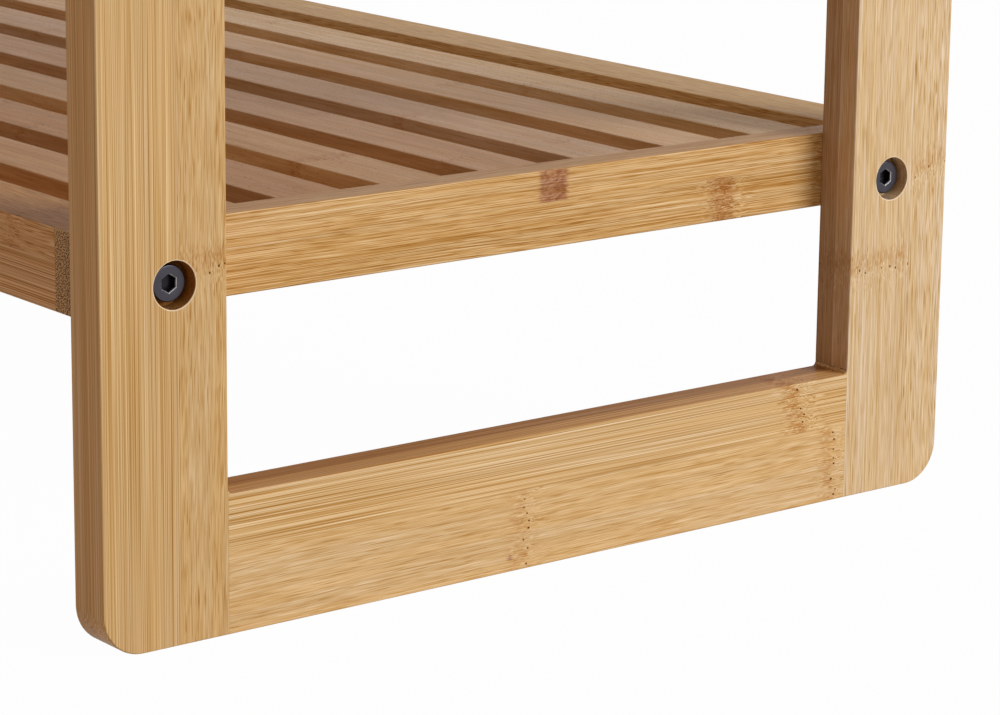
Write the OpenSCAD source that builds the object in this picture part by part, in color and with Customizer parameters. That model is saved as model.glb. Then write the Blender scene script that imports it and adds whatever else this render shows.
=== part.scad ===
// Slatted bamboo entryway bench with one lower shelf.
// Two end frames with rounded corners stand on the floor. A shelf panel and a seat panel, each a frame
// of rails filled with slats, are bolted between them through the posts.
// Millimetres. +X runs along the bench, the front is at -Y, +Z is up. The origin is on the floor,
// at the middle of the bench.

/* [Overall] */
// Length of the bench over its end frames
bench_l = 900; // [600:10:1200]
// Depth of the bench over its end frames
bench_d = 350; // [300:5:420]
// Height of the bench from the floor to the seat
bench_h = 450; // [400:5:520]

/* [End frames] */
// Thickness of the boards of an end frame
frame_t = 16.5; // [15:0.5:24]
// Width of a post
post_w = 45; // [38:1:60]
// Height of the top and bottom rails between the posts
frame_rail_h = 45; // [40:1:60]
// Radius of the outer corners of an end frame
corner_r = 14; // [6:1:20]

/* [Panels] */
// How far the panels stand back from the front and back edges of the end frames
panel_inset = 2.25; // [1:0.25:5]
// Width of the front and back rails of a panel
panel_rail_w = 25; // [20:1:32]
// Thickness of the end rails of a panel
end_rail_t = 12; // [12:0.5:20]
// Number of slats in a panel
slat_n = 7; // [5:1:8]
// Width of a slat
slat_w = 25; // [18:0.5:30]
// Width of the cross bearers under the slats
bearer_w = 25; // [20:1:40]
// How far the bearers stand up from the underside of the panel's rails
bearer_up = 2; // [0:0.5:4]

/* [Shelf] */
// Height of the top of the shelf above the floor
shelf_top = 128.5; // [100:0.5:220]
// Height of the rails round the shelf
shelf_rail_h = 26; // [24:1:40]
// Thickness of a shelf slat
shelf_slat_t = 10; // [8:0.5:12]
// Height of the shelf's bolts above the underside of its rails
shelf_bolt_up = 10.3; // [8:0.1:14]

/* [Seat] */
// Height of the rails round the seat
seat_rail_h = 42; // [36:1:60]
// Thickness of a seat slat
seat_slat_t = 14; // [10:0.5:18]
// Distance between the two bearers under the seat, centre to centre
seat_bearer_gap = 300; // [200:10:400]

/* [Joinery] */
// Length of the stub tenons
tenon_l = 6.5; // [4:0.5:8]
// Width of the shoulder beside a tenon
tenon_shoulder = 4; // [3:0.5:5]
// Thickness of a slat's tenon
slat_tenon_t = 6; // [4:0.5:7]
// Width of the tenons of the front and back rails
rail_tenon_w = 12; // [8:0.5:13]
// Height of the shoulders above and below a shelf rail's tenon
shelf_shoulder = 5; // [4:0.5:7]
// Height of the shoulders above and below a seat rail's tenon
seat_shoulder = 10; // [8:0.5:12]
// Height of the shoulders above and below a bearer's tenon
bearer_shoulder = 3; // [2:0.5:3]
// Diameter of the dowels between posts and frame rails
dowel_d = 8; // [6:0.5:9]
// Length of a dowel
dowel_l = 30; // [20:1:36]
// Distance between the two dowels of one joint
dowel_gap = 27; // [26:0.5:29]
// Clearance all round what is glued or pressed into the wood
fit = 0.15; // [0.1:0.05:0.3]

/* [Hardware] */
// Diameter of a bolt's shank
bolt_d = 6; // [5:0.5:6.5]
// Diameter of a bolt's head
bolt_head_d = 11.5; // [10:0.5:12.5]
// Height of a bolt's head
bolt_head_h = 3.5; // [3:0.25:5]
// Width across the flats of the hexagon socket in a bolt's head
hex_af = 5; // [4:0.5:6]
// Depth of the hexagon socket
hex_deep = 2.5; // [2:0.25:2.75]
// Length of the shank inside its insert
bolt_grip = 9; // [6:0.5:9.5]
// How far a bolt's head lies below the face of the post
bolt_sink = 3.2; // [1:0.1:5]
// Distance of the bolts from the outer edges of the end frame
bolt_in = 26.4; // [24:0.2:28]
// Diameter of the counterbore round a bolt's head
counterbore_d = 15; // [13.5:0.5:17]
// Clearance round a bolt's shank in the post
bolt_play = 0.25; // [0.1:0.05:0.5]
// Outer diameter of the threaded inserts in the end rails
insert_d = 8; // [8:0.5:9]
// Length of a threaded insert
insert_l = 10; // [10:0.5:11]
// Diameter of a bearer screw's shank
screw_d = 3.5; // [3:0.5:4.5]
// Diameter of a bearer screw's head
screw_head_d = 7; // [6:0.5:9]
// Length of screw that bites into a slat
screw_bite = 6; // [4:0.5:7]

/* [Hidden] */
$fn = 96;
bamboo = [0.80, 0.62, 0.42];
bamboo_dark = [0.68, 0.50, 0.34];
pale_wood = [0.86, 0.74, 0.56];
black_steel = [0.17, 0.17, 0.18];
brass = [0.78, 0.66, 0.36];
zinc = [0.72, 0.72, 0.70];

panel_l = bench_l - 2 * frame_t;
panel_d = bench_d - 2 * panel_inset;
bar_l = panel_l - 2 * end_rail_t;
slat_gap = (panel_d - 2 * panel_rail_w - slat_n * slat_w) / (slat_n + 1);
seat_r = max(corner_r - panel_inset, 0);
seat_bolt_z = bench_h - frame_rail_h / 2;
shelf_bolt_z = shelf_top - shelf_rail_h + shelf_bolt_up;
shelf_bearers = [0];
seat_bearers = [-seat_bearer_gap / 2, seat_bearer_gap / 2];

function slat_edge(i) = -panel_d / 2 + panel_rail_w + i * slat_gap + (i - 1) * slat_w;
function slat_mid(i) = slat_edge(i) + slat_w / 2;
function bearer_h(rail_h, slat_t) = rail_h - slat_t - bearer_up;

SIDES = ["left", "right"];

// ---- Placing -------------------------------------------------------------------------------------

// Mirrors what is drawn at +X to the left end
module at_end(side) mirror([side == "left" ? 1 : 0, 0, 0]) children();

// Mirrors what is drawn at +Y to the front
module at_face(face) mirror([0, face == "front" ? 1 : 0, 0]) children();

// Draws its children at each of the four corners of the bench
module at_corners() for (side = SIDES, face = ["front", "back"]) at_end(side) at_face(face) children();

// Extrudes an outline drawn in Y and Z along +X, starting at x
module along_x(x, length) translate([x, 0, 0]) rotate([90, 0, 90]) linear_extrude(length) children();

// ---- Shapes --------------------------------------------------------------------------------------

// Quarter of a disc in the first quadrant
module quarter(r) intersection() {
    circle(r);
    square(r);
}

// Rectangle w by h against both axes, its corners at the far end of w rounded by r_low and r_high
module outline(w, h, r_low, r_high) {
    square([w - max(r_low, r_high), h]);
    translate([0, r_low]) square([w, h - r_low - r_high]);
    if (r_low > 0) translate([w - r_low, r_low]) mirror([0, 1]) quarter(r_low);
    if (r_high > 0) translate([w - r_high, h - r_high]) quarter(r_high);
}

// Block with its low corner at p
module block(p, size) translate(p) cube(size);

// The two dowels of the joint between a rail at height z and the post at +Y, grown by extra
module dowel_pair(z, extra) {
    for (dz = [-dowel_gap / 2, dowel_gap / 2])
        translate([bench_l / 2 - frame_t / 2, bench_d / 2 - post_w, z + dz]) rotate([90, 0, 0])
            cylinder(h = dowel_l + 2 * extra, d = dowel_d + 2 * extra, center = true);
}

// The dowels of the end frame at +X, grown by extra
module frame_dowels(extra) {
    for (face = ["front", "back"], z = [frame_rail_h / 2, bench_h - frame_rail_h / 2])
        at_face(face) dowel_pair(z, extra);
}

// The hole for a bolt through the post at +X and +Y
module bolt_hole(z) {
    translate([0, bench_d / 2 - bolt_in, z]) rotate([0, 90, 0])
        cylinder(h = bench_l, d = bolt_d + 2 * bolt_play);
    translate([bench_l / 2 - bolt_sink - bolt_head_h, bench_d / 2 - bolt_in, z]) rotate([0, 90, 0])
        cylinder(h = frame_t, d = counterbore_d);
}

// A bolt at +X and +Y: its head sunk in the post, its shank through the post and into the insert
module bolt(z) {
    seat_x = bench_l / 2 - bolt_sink - bolt_head_h;
    shank_l = seat_x - panel_l / 2 + bolt_grip;
    translate([seat_x, bench_d / 2 - bolt_in, z]) rotate([0, 90, 0]) difference() {
        union() {
            cylinder(h = bolt_head_h, d = bolt_head_d);
            translate([0, 0, -shank_l]) cylinder(h = shank_l + bolt_head_h / 2, d = bolt_d);
        }
        translate([0, 0, bolt_head_h - hex_deep]) cylinder(h = bolt_head_h, d = hex_af / cos(30), $fn = 6);
    }
}

// The sleeve of a threaded insert at +X and +Y, let into the outer face of a panel's end rail
module insert_body(z, extra) {
    translate([panel_l / 2 - insert_l - extra, bench_d / 2 - bolt_in, z]) rotate([0, 90, 0])
        cylinder(h = insert_l + 2 * extra, d = insert_d + 2 * extra);
}

// The threaded insert with its bore
module insert(z) {
    difference() {
        insert_body(z, 0);
        translate([0, bench_d / 2 - bolt_in, z]) rotate([0, 90, 0])
            cylinder(h = bench_l, d = bolt_d + 2 * fit);
    }
}

// A countersunk screw that points up from z = 0, grown by extra
module screw(length, extra) {
    head_r = screw_head_d / 2 + extra;
    shank_r = screw_d / 2 + extra;
    rotate_extrude() polygon([
        [0, 0], [head_r, 0], [shank_r, head_r - shank_r], [shank_r, length - screw_d], [0, length + extra]
    ]);
}

// The screws up through the bearers of a panel into its slats, grown by extra
module screws(bearers, top, rail_h, slat_t, extra) {
    for (x = bearers, i = [1:slat_n])
        translate([x, slat_mid(i), top - rail_h + bearer_up])
            screw(bearer_h(rail_h, slat_t) + screw_bite, extra);
}

// ---- End frames ----------------------------------------------------------------------------------

module post(side, face) {
    color(bamboo) at_end(side) at_face(face) difference() {
        translate([0, bench_d / 2 - post_w, 0])
            along_x(bench_l / 2 - frame_t, frame_t) outline(post_w, bench_h, corner_r, corner_r);
        frame_dowels(fit);
        bolt_hole(shelf_bolt_z);
        bolt_hole(seat_bolt_z);
    }
}

// A rail between the posts, with its underside at height z
module frame_rail(side, z) {
    rail_l = bench_d - 2 * post_w;
    color(bamboo) at_end(side) difference() {
        block([bench_l / 2 - frame_t, -rail_l / 2, z], [frame_t, rail_l, frame_rail_h]);
        frame_dowels(fit);
    }
}

module dowels(side) color(pale_wood) at_end(side) frame_dowels(0);

// ---- Panels --------------------------------------------------------------------------------------

// A front or back rail: its tenons go into the end rails, and the bearers' tenons go into it
module panel_rail(face, top, h, slat_t, r, shoulder, bearers) {
    tenon_y = panel_d / 2 - tenon_shoulder - rail_tenon_w;
    color(bamboo_dark) at_face(face) difference() {
        union() {
            translate([0, panel_d / 2 - panel_rail_w, top - h])
                along_x(-bar_l / 2, bar_l) outline(panel_rail_w, h, 0, r);
            block([-bar_l / 2 - tenon_l, tenon_y, top - h + shoulder],
                [bar_l + 2 * tenon_l, rail_tenon_w, h - 2 * shoulder]);
        }
        bearer_tenons(bearers, top, h, slat_t, fit);
    }
}

// An end rail, drawn at +X: the slats and the long rails are tenoned into its inner face
module end_rail(side, top, h, slat_t, r, shoulder, bolt_z) {
    color(bamboo_dark) at_end(side) difference() {
        for (face = ["front", "back"]) at_face(face)
            translate([0, 0, top - h]) along_x(bar_l / 2, end_rail_t) outline(panel_d / 2, h, 0, r);
        for (i = [1:slat_n]) slat_tenons(i, top, slat_t, fit);
        for (face = ["front", "back"]) at_face(face) {
            block([0, panel_d / 2 - tenon_shoulder - rail_tenon_w - fit, top - h + shoulder - fit],
                [bar_l / 2 + tenon_l + fit, rail_tenon_w + 2 * fit, h - 2 * (shoulder - fit)]);
            insert_body(bolt_z, fit);
        }
    }
}

// The tenons at both ends of slat i, grown by extra
module slat_tenons(i, top, slat_t, extra) {
    length = bar_l + 2 * (tenon_l + extra);
    thickness = slat_tenon_t + 2 * extra;
    block([-length / 2, slat_edge(i) + tenon_shoulder - extra, top - slat_t / 2 - thickness / 2],
        [length, slat_w - 2 * (tenon_shoulder - extra), thickness]);
}

module slat(i, top, rail_h, slat_t, bearers) {
    color(bamboo_dark) difference() {
        union() {
            block([-bar_l / 2, slat_edge(i), top - slat_t], [bar_l, slat_w, slat_t]);
            slat_tenons(i, top, slat_t, 0);
        }
        screws(bearers, top, rail_h, slat_t, fit);
    }
}

// The tenons at both ends of the bearers of a panel, grown by extra
module bearer_tenons(bearers, top, rail_h, slat_t, extra) {
    length = panel_d - 2 * panel_rail_w + 2 * (tenon_l + extra);
    width = bearer_w - 2 * (tenon_shoulder - extra);
    height = bearer_h(rail_h, slat_t) - 2 * (bearer_shoulder - extra);
    for (x = bearers)
        block([x - width / 2, -length / 2, top - rail_h + bearer_up + bearer_shoulder - extra],
            [width, length, height]);
}

module bearer(x, top, rail_h, slat_t) {
    length = panel_d - 2 * panel_rail_w;
    color(bamboo_dark) difference() {
        union() {
            block([x - bearer_w / 2, -length / 2, top - rail_h + bearer_up],
                [bearer_w, length, bearer_h(rail_h, slat_t)]);
            bearer_tenons([x], top, rail_h, slat_t, 0);
        }
        screws([x], top, rail_h, slat_t, fit);
    }
}

module shelf_rail(face) {
    panel_rail(face, shelf_top, shelf_rail_h, shelf_slat_t, 0, shelf_shoulder, shelf_bearers);
}

module seat_rail(face) {
    panel_rail(face, bench_h, seat_rail_h, seat_slat_t, seat_r, seat_shoulder, seat_bearers);
}

module shelf_end_rail(side) {
    end_rail(side, shelf_top, shelf_rail_h, shelf_slat_t, 0, shelf_shoulder, shelf_bolt_z);
}

module seat_end_rail(side) {
    end_rail(side, bench_h, seat_rail_h, seat_slat_t, seat_r, seat_shoulder, seat_bolt_z);
}

module shelf_slat(i) slat(i, shelf_top, shelf_rail_h, shelf_slat_t, shelf_bearers);

module seat_slat(i) slat(i, bench_h, seat_rail_h, seat_slat_t, seat_bearers);

module shelf_bearer() bearer(shelf_bearers[0], shelf_top, shelf_rail_h, shelf_slat_t);

module seat_bearer(n) bearer(seat_bearers[n], bench_h, seat_rail_h, seat_slat_t);

// ---- Hardware ------------------------------------------------------------------------------------

module bolts(z) color(black_steel) at_corners() bolt(z);

module inserts(z) color(brass) at_corners() insert(z);

module shelf_bearer_screws() {
    color(zinc) screws(shelf_bearers, shelf_top, shelf_rail_h, shelf_slat_t, 0);
}

module seat_bearer_screws() {
    color(zinc) screws(seat_bearers, bench_h, seat_rail_h, seat_slat_t, 0);
}

// ---- Nodes ---------------------------------------------------------------------------------------

for (side = SIDES) {
    post(side, "front");
    post(side, "back");
    frame_rail(side, 0);
    frame_rail(side, bench_h - frame_rail_h);
    dowels(side);
    shelf_end_rail(side);
    seat_end_rail(side);
}
shelf_rail("front");  // shelf_front_rail
shelf_rail("back");  // shelf_back_rail
seat_rail("front");  // seat_front_rail
seat_rail("back");  // seat_back_rail
for (i = [1:slat_n]) {
    shelf_slat(i);
    seat_slat(i);
}
shelf_bearer();
seat_bearer(0);  // seat_left_bearer
seat_bearer(1);  // seat_right_bearer
bolts(shelf_bolt_z);  // shelf_bolts
bolts(seat_bolt_z);  // seat_bolts
inserts(shelf_bolt_z);  // shelf_inserts
inserts(seat_bolt_z);  // seat_inserts
shelf_bearer_screws();
seat_bearer_screws();
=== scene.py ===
"""Entryway bench of laminated bamboo: a slatted shelf and a slatted seat bolted between two end frames.

Each board takes its size and place from its node in the CAD frame, and gets what the plain solid
leaves out: eased edges, filleted window corners, rimmed counterbores and the bamboo's own grain.
Lengths are in metres. The grain is worked out in millimetres, in three directions of the board:
along the grain, across the board's face, and through its thickness.
"""

import math
import random

import bmesh
import bpy
from mathutils import Matrix, Vector


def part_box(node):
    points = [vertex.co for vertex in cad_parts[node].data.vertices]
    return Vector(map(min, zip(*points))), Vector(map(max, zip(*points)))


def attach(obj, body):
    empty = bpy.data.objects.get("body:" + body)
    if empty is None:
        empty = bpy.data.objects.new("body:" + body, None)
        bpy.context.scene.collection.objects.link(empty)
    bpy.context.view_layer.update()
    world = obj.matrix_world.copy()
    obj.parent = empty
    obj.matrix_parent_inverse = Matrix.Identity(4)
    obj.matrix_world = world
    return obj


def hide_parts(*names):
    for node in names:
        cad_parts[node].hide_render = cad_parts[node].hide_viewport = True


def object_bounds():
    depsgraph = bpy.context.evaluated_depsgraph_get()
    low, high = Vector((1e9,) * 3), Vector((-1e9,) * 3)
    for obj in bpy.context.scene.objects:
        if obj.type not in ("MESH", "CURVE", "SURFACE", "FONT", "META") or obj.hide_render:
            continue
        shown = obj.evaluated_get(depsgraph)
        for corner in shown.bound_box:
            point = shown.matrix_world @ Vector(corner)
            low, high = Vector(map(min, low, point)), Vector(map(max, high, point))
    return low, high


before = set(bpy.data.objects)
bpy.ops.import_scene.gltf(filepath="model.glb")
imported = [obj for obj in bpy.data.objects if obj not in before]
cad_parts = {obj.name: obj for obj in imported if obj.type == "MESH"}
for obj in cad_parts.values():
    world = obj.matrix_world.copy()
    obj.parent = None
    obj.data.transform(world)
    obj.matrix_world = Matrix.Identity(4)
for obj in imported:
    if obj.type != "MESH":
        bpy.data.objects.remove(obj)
cad_low, cad_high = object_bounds()

MM = 0.001

# ---- Shapes --------------------------------------------------------------------------

EDGE = 0.5 * MM             # round-over of the boards' long edges
SLAT_EDGE = 0.45 * MM       # round-over of the slats
CRISP = 0.12 * MM           # easing where boards meet flush
SEAM = 0.04 * MM            # hairline between glued boards
FRAME_CORNER = 14.0 * MM    # outer corners of the end frames
WINDOW_FILLET = 1.6 * MM    # inner corners of the end frames
COUNTERBORE_R = 7.5 * MM    # recess round a bolt's head
COUNTERBORE_RIM = 0.35 * MM
SHANK_R = 3.0 * MM
SHANK_BEVEL = 0.6 * MM      # at the shank's tip
HEAD_H = 3.5 * MM
HEAD_RIM = 0.45 * MM
HEAD_BEVEL = 0.2 * MM       # under the head
HEX_HALF = 2.5 * MM         # half the width across the flats of a bolt's socket
HEX_ROUND = 0.4 * MM        # rounding of the socket's mouth
HEX_DEEP = 2.5 * MM
BOLT_HOLE_R = 3.25 * MM
BOLT_L = 15.8 * MM          # from under the head to the shank's tip
SCREW_HEAD_R = 3.5 * MM     # countersunk screws under the bearers
SCREW_R = 1.75 * MM
SCREW_TIP_R = 0.3 * MM
SCREW_BEVEL = 0.15 * MM     # round a screw's head
CROSS_HALF = 0.5 * MM       # half the width of an arm of a screw's cross recess
CROSS_R = 2.1 * MM
CROSS_DEEP = 1.3 * MM
CUT_PAST = 1.0 * MM         # how far a cutter reaches past the face that it cuts

EDGE_STEPS = 4              # facets of a rounded edge
CORNER_STEPS = 16           # facets of a rounded corner
TURN = 96                   # facets of what is turned on a lathe
CREASE = math.radians(35)   # edges sharper than this stay crisp
WELD = 0.001 * MM           # points nearer than this become one
SLIVER = 0.0001 * MM        # edges shorter than this are dissolved

# A board's axes: along the grain, across its face and through its thickness
ALONG_X = (0, 1, 2)
RAIL_X = (0, 2, 1)
ALONG_Y = (1, 2, 0)
BEARER_Y = (1, 0, 2)
ALONG_Z = (2, 1, 0)

PANELS = ("shelf", "seat")
SIDES = ("left", "right")
FACES = ("front", "back")
SLATS = range(1, 8)
BEARERS = {"shelf": ("shelf_bearer",), "seat": ("seat_left_bearer", "seat_right_bearer")}


def box(node):
    """The lowest and highest corner of a CAD node, as plain lists that may be changed"""
    low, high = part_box(node)
    return list(low), list(high)


def add_object(name, bm):
    """Puts a bmesh into the scene as an object"""
    mesh = bpy.data.meshes.new(name)
    bm.to_mesh(mesh)
    bm.free()
    added = bpy.data.objects.new(name, mesh)
    bpy.context.scene.collection.objects.link(added)
    return added


def new_piece(name, bm, material, nodes):
    """Makes a piece from a bmesh. It rides on the bench and stands for the CAD nodes given"""
    bmesh.ops.remove_doubles(bm, verts=bm.verts, dist=WELD)
    bmesh.ops.dissolve_degenerate(bm, edges=bm.edges, dist=SLIVER)
    bmesh.ops.recalc_face_normals(bm, faces=bm.faces)
    piece = add_object(name, bm)
    finish_shading(piece)
    piece.data.materials.append(material)
    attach(piece, "root")
    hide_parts(*nodes)
    return piece


def finish_shading(piece):
    """Smooth rounded edges, flat faces and crisp corners"""
    piece.data.shade_smooth()
    piece.data.set_sharp_from_angle(angle=CREASE)
    weighted = piece.modifiers.new("flat faces", "WEIGHTED_NORMAL")
    weighted.keep_sharp = True


def loft(bm, rings):
    """A closed solid through rings of points, each ring with as many points"""
    loops = [[bm.verts.new(point) for point in ring] for ring in rings]
    for near, far in zip(loops, loops[1:]):
        for i in range(len(near)):
            j = (i + 1) % len(near)
            bm.faces.new((near[i], near[j], far[j], far[i]))
    bm.faces.new(reversed(loops[0]))
    bm.faces.new(loops[-1])


def eased(start, end, start_edge, end_edge):
    """Places along an extrusion, with how far the outline draws in at each, so that both rims are round"""
    quarter = [math.radians(90 * step / EDGE_STEPS) for step in range(EDGE_STEPS + 1)]
    first = [(start + start_edge * (1 - math.cos(a)), start_edge * (1 - math.sin(a))) for a in quarter]
    last = [(end - end_edge * (1 - math.cos(a)), end_edge * (1 - math.sin(a))) for a in quarter]
    return first + last[::-1]


def arc(centre, radius, start, end, steps):
    """Points on an arc in Y and Z, angles in degrees"""
    angles = [math.radians(start + (end - start) * step / steps) for step in range(steps + 1)]
    return [(centre[0] + radius * math.cos(a), centre[1] + radius * math.sin(a)) for a in angles]


def rectangle(low, high, radii, inset):
    """Outline in Y and Z, drawn in by inset. radii are for its corners, anticlockwise from the lowest"""
    corners = ((low, low), (high, low), (high, high), (low, high))
    inward = ((1, 1), (-1, 1), (-1, -1), (1, -1))
    points = []
    for turn in range(4):
        reach = inset + max(radii[turn] - inset, 0)
        centre = [corners[turn][axis][axis + 1] + inward[turn][axis] * reach for axis in (0, 1)]
        steps = EDGE_STEPS if radii[turn] <= EDGE else CORNER_STEPS
        points += arc(centre, reach - inset, 180 + 90 * turn, 270 + 90 * turn, steps)
    return points


def board_mesh(low, high, radii, low_rim, high_rim):
    """A board drawn in Y and Z and extruded along X. The rims are the edges round its two X faces"""
    bm = bmesh.new()
    places = eased(low[0], high[0], low_rim, high_rim)
    loft(bm, [[(x, y, z) for y, z in rectangle(low, high, radii, inset)] for x, inset in places])
    return bm


def fillet_crossing(inset):
    """Angle at which a window corner's fillet, drawn in by inset, crosses the post's inner edge"""
    return 180 + math.degrees(math.acos(WINDOW_FILLET / (WINDOW_FILLET + inset)))


def post_outline(width, height, rail_h, inset):
    """Outline of a post: its outer edge at 0, its inner edge at width with the rails' joints left square"""
    radius = FRAME_CORNER - inset
    lower = arc((FRAME_CORNER, FRAME_CORNER), radius, 180, 270, CORNER_STEPS)
    fillet = (width + WINDOW_FILLET, rail_h + WINDOW_FILLET)
    inner = arc(fillet, WINDOW_FILLET + inset, fillet_crossing(inset), 180, EDGE_STEPS)
    half = lower + [(width, inset)] + inner
    return half + [(y, height - z) for y, z in reversed(half)]


def frame_rail_outline(half_length, rail_h, inset):
    """Outline of a frame rail between the posts: its outer edge at 0, its inner edge at rail_h"""
    fillet = (half_length - WINDOW_FILLET, rail_h + WINDOW_FILLET)
    mirrored = 540 - fillet_crossing(inset)
    half = [(half_length, inset)] + arc(fillet, WINDOW_FILLET + inset, mirrored, 270, EDGE_STEPS)
    outline = half + [(-y, z) for y, z in reversed(half)]
    reach = half_length - SEAM
    return [(max(-reach, min(reach, y)), z) for y, z in outline]


def turned(bm, centre, direction, profile, outline=None, axis=0):
    """Adds a solid turned round an axis through centre.

    profile lists (distance from the centre, radius) of its rings, and outline gives a ring another shape.
    """
    rings = []
    for step, (distance, radius) in enumerate(profile):
        ring = []
        for i in range(TURN):
            angle = 2 * math.pi * i / TURN
            reach = outline(step, angle, radius) if outline else radius
            point = list(centre)
            point[axis] += direction * distance
            point[(axis + 1) % 3] += reach * math.sin(angle)
            point[(axis + 2) % 3] += reach * math.cos(angle)
            ring.append(point)
        rings.append(ring)
    loft(bm, rings)


def cut(piece, bm):
    """Cuts a solid out of a piece"""
    bmesh.ops.remove_doubles(bm, verts=bm.verts, dist=WELD)
    bmesh.ops.recalc_face_normals(bm, faces=bm.faces)
    cutter = add_object("cutter", bm)
    piece.modifiers.clear()
    boolean = piece.modifiers.new("cut", "BOOLEAN")
    boolean.operation = "DIFFERENCE"
    boolean.solver = "EXACT"
    boolean.object = cutter
    bpy.context.view_layer.update()
    shaped = piece.evaluated_get(bpy.context.evaluated_depsgraph_get())
    result = bpy.data.meshes.new_from_object(shaped)
    piece.modifiers.clear()
    uncut, cutter_mesh = piece.data, cutter.data
    piece.data = result
    result.name = uncut.name
    bpy.data.objects.remove(cutter)
    bpy.data.meshes.remove(uncut)
    bpy.data.meshes.remove(cutter_mesh)
    finish_shading(piece)


# ---- Materials -----------------------------------------------------------------------

# How a strip is cut, from long lines to hardly a fibre
LINES = 0.0
FINE = 0.45
SILK = 0.6
FLECKS = 1.0
PLAIN = 2.0

# What marks, painted shade and cut wood multiply the bamboo's colour by
JOINT_BROWN = (0.76, 0.56, 0.36, 1.0)
DOT_BROWN = (0.62, 0.40, 0.17, 1.0)
STAIN_PURPLE = (0.52, 0.35, 0.44, 1.0)
LOW_PLY_BROWN = (0.55, 0.43, 0.36, 1.0)
# Painted shade on the walls of the counterbores
BORE_PAINTED_SHADE = (0.56, 0.37, 0.17, 1.0)
LOWER_END_PALE = (1.15, 1.12, 1.06, 1.0)

# The counterbores' rims are painted pale: partly their pale cut fibres, partly a painted highlight where the
# chamfer catches the light
RIM_HIGHLIGHT = 0.6             # how pale the rims of the counterbores are
WOOD_IOR = 1.17             # a matt lacquer that hardly mirrors the room
WOOD_RELIEF = 0.1 * MM
METAL_RELIEF = 0.03 * MM
PER_MM = (1 / MM,) * 3      # turns metres into millimetres
BEYOND = 1000.0             # millimetres, across or through any board and past it


def srgb(red, green, blue):
    """A colour written as on a screen, 0 to 255, as linear light"""
    def linear(value):
        value /= 255
        return value / 12.92 if value <= 0.04045 else ((value + 0.055) / 1.055) ** 2.4
    return linear(red), linear(green), linear(blue), 1.0


class Graph:
    """Adds nodes to a node tree. A value may be a number, a tuple or another node's output"""

    def __init__(self, tree):
        self.tree = tree

    def node(self, kind, values=None, **settings):
        node = self.tree.nodes.new(kind)
        for name, value in settings.items():
            setattr(node, name, value)
        for key, value in (values or {}).items():
            self.put(node.inputs[key], value)
        return node

    def put(self, socket, value):
        if isinstance(value, bpy.types.NodeSocket):
            self.tree.links.new(value, socket)
        else:
            socket.default_value = value

    def group(self, tree, values):
        return self.node("ShaderNodeGroup", values, node_tree=tree).outputs

    def math(self, operation, *values):
        return self.node("ShaderNodeMath", dict(enumerate(values)), operation=operation).outputs[0]

    def vector(self, operation, *values):
        return self.node("ShaderNodeVectorMath", dict(enumerate(values)), operation=operation).outputs[0]

    def total(self, *values):
        result = values[0]
        for value in values[1:]:
            result = self.math("ADD", result, value)
        return result

    def product(self, *values):
        result = values[0]
        for value in values[1:]:
            result = self.math("MULTIPLY", result, value)
        return result

    def swing(self, value, amount):
        """How far a noise is from its middle, times an amount"""
        return self.math("MULTIPLY_ADD", value, amount, -0.5 * amount)

    def split(self, vector):
        return self.node("ShaderNodeSeparateXYZ", {0: vector}).outputs

    def join(self, x, y, z):
        return self.node("ShaderNodeCombineXYZ", {0: x, 1: y, 2: z}).outputs[0]

    def smooth(self, value, low, high):
        """0 at low, 1 at high and a soft step between; low may be the larger"""
        values = {"Value": value, "From Min": low, "From Max": high}
        return self.node("ShaderNodeMapRange", values, interpolation_type="SMOOTHSTEP").outputs[0]

    def noise(self, place, size, detail=0.0):
        """Noise whose features are about size millimetres along, across and through the board"""
        scaled = self.vector("DIVIDE", place, size)
        values = {"Vector": scaled, "Scale": 1.0, "Detail": detail, "Roughness": 0.55}
        return self.node("ShaderNodeTexNoise", values).outputs[0]

    def dice(self, x, y):
        """A random number from 0 to 1 for each pair of whole numbers"""
        place = self.join(x, y, 0.0)
        return self.node("ShaderNodeTexWhiteNoise", {"Vector": place}, noise_dimensions="2D").outputs[0]

    def mix(self, factor, first, second, blend="MIX"):
        """A colour between two others, which go into the node's sockets 6 and 7 and out of its 2"""
        node = self.node("ShaderNodeMix", data_type="RGBA", blend_type=blend)
        self.put(node.inputs[0], factor)
        self.put(node.inputs[6], first)
        self.put(node.inputs[7], second)
        return node.outputs[2]

    def tint(self, factor, colour, shade):
        """Multiplies a colour by a shade, as far as the factor says"""
        return self.mix(factor, colour, shade, "MULTIPLY")

    def between(self, factor, first, second):
        """A number between two others"""
        return self.node("ShaderNodeMix", {0: factor, 2: first, 3: second}, data_type="FLOAT").outputs[0]

    def ramp(self, value, stops):
        """A colour for each value, from stops of (position, colour)"""
        node = self.node("ShaderNodeValToRGB", {0: value})
        bands = node.color_ramp.elements
        while len(bands) < len(stops):
            bands.new(1.0)
        for band, (position, colour) in zip(bands, stops):
            band.position = position
            band.color = colour
        return node.outputs[0]


def new_group(name, inputs, outputs):
    """A node group, with its graph, the sockets that it is given and those that it fills"""
    tree = bpy.data.node_groups.new(name, "ShaderNodeTree")
    for direction, sockets in (("INPUT", inputs), ("OUTPUT", outputs)):
        for label, kind in sockets.items():
            tree.interface.new_socket(label, in_out=direction, socket_type="NodeSocket" + kind)
    graph = Graph(tree)
    return tree, graph, graph.node("NodeGroupInput").outputs, graph.node("NodeGroupOutput").inputs


def new_material(name):
    """An empty node material, with its graph"""
    material = bpy.data.materials.new(name)
    material.use_nodes = True
    material.node_tree.nodes.clear()
    return material, Graph(material.node_tree)


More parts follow.
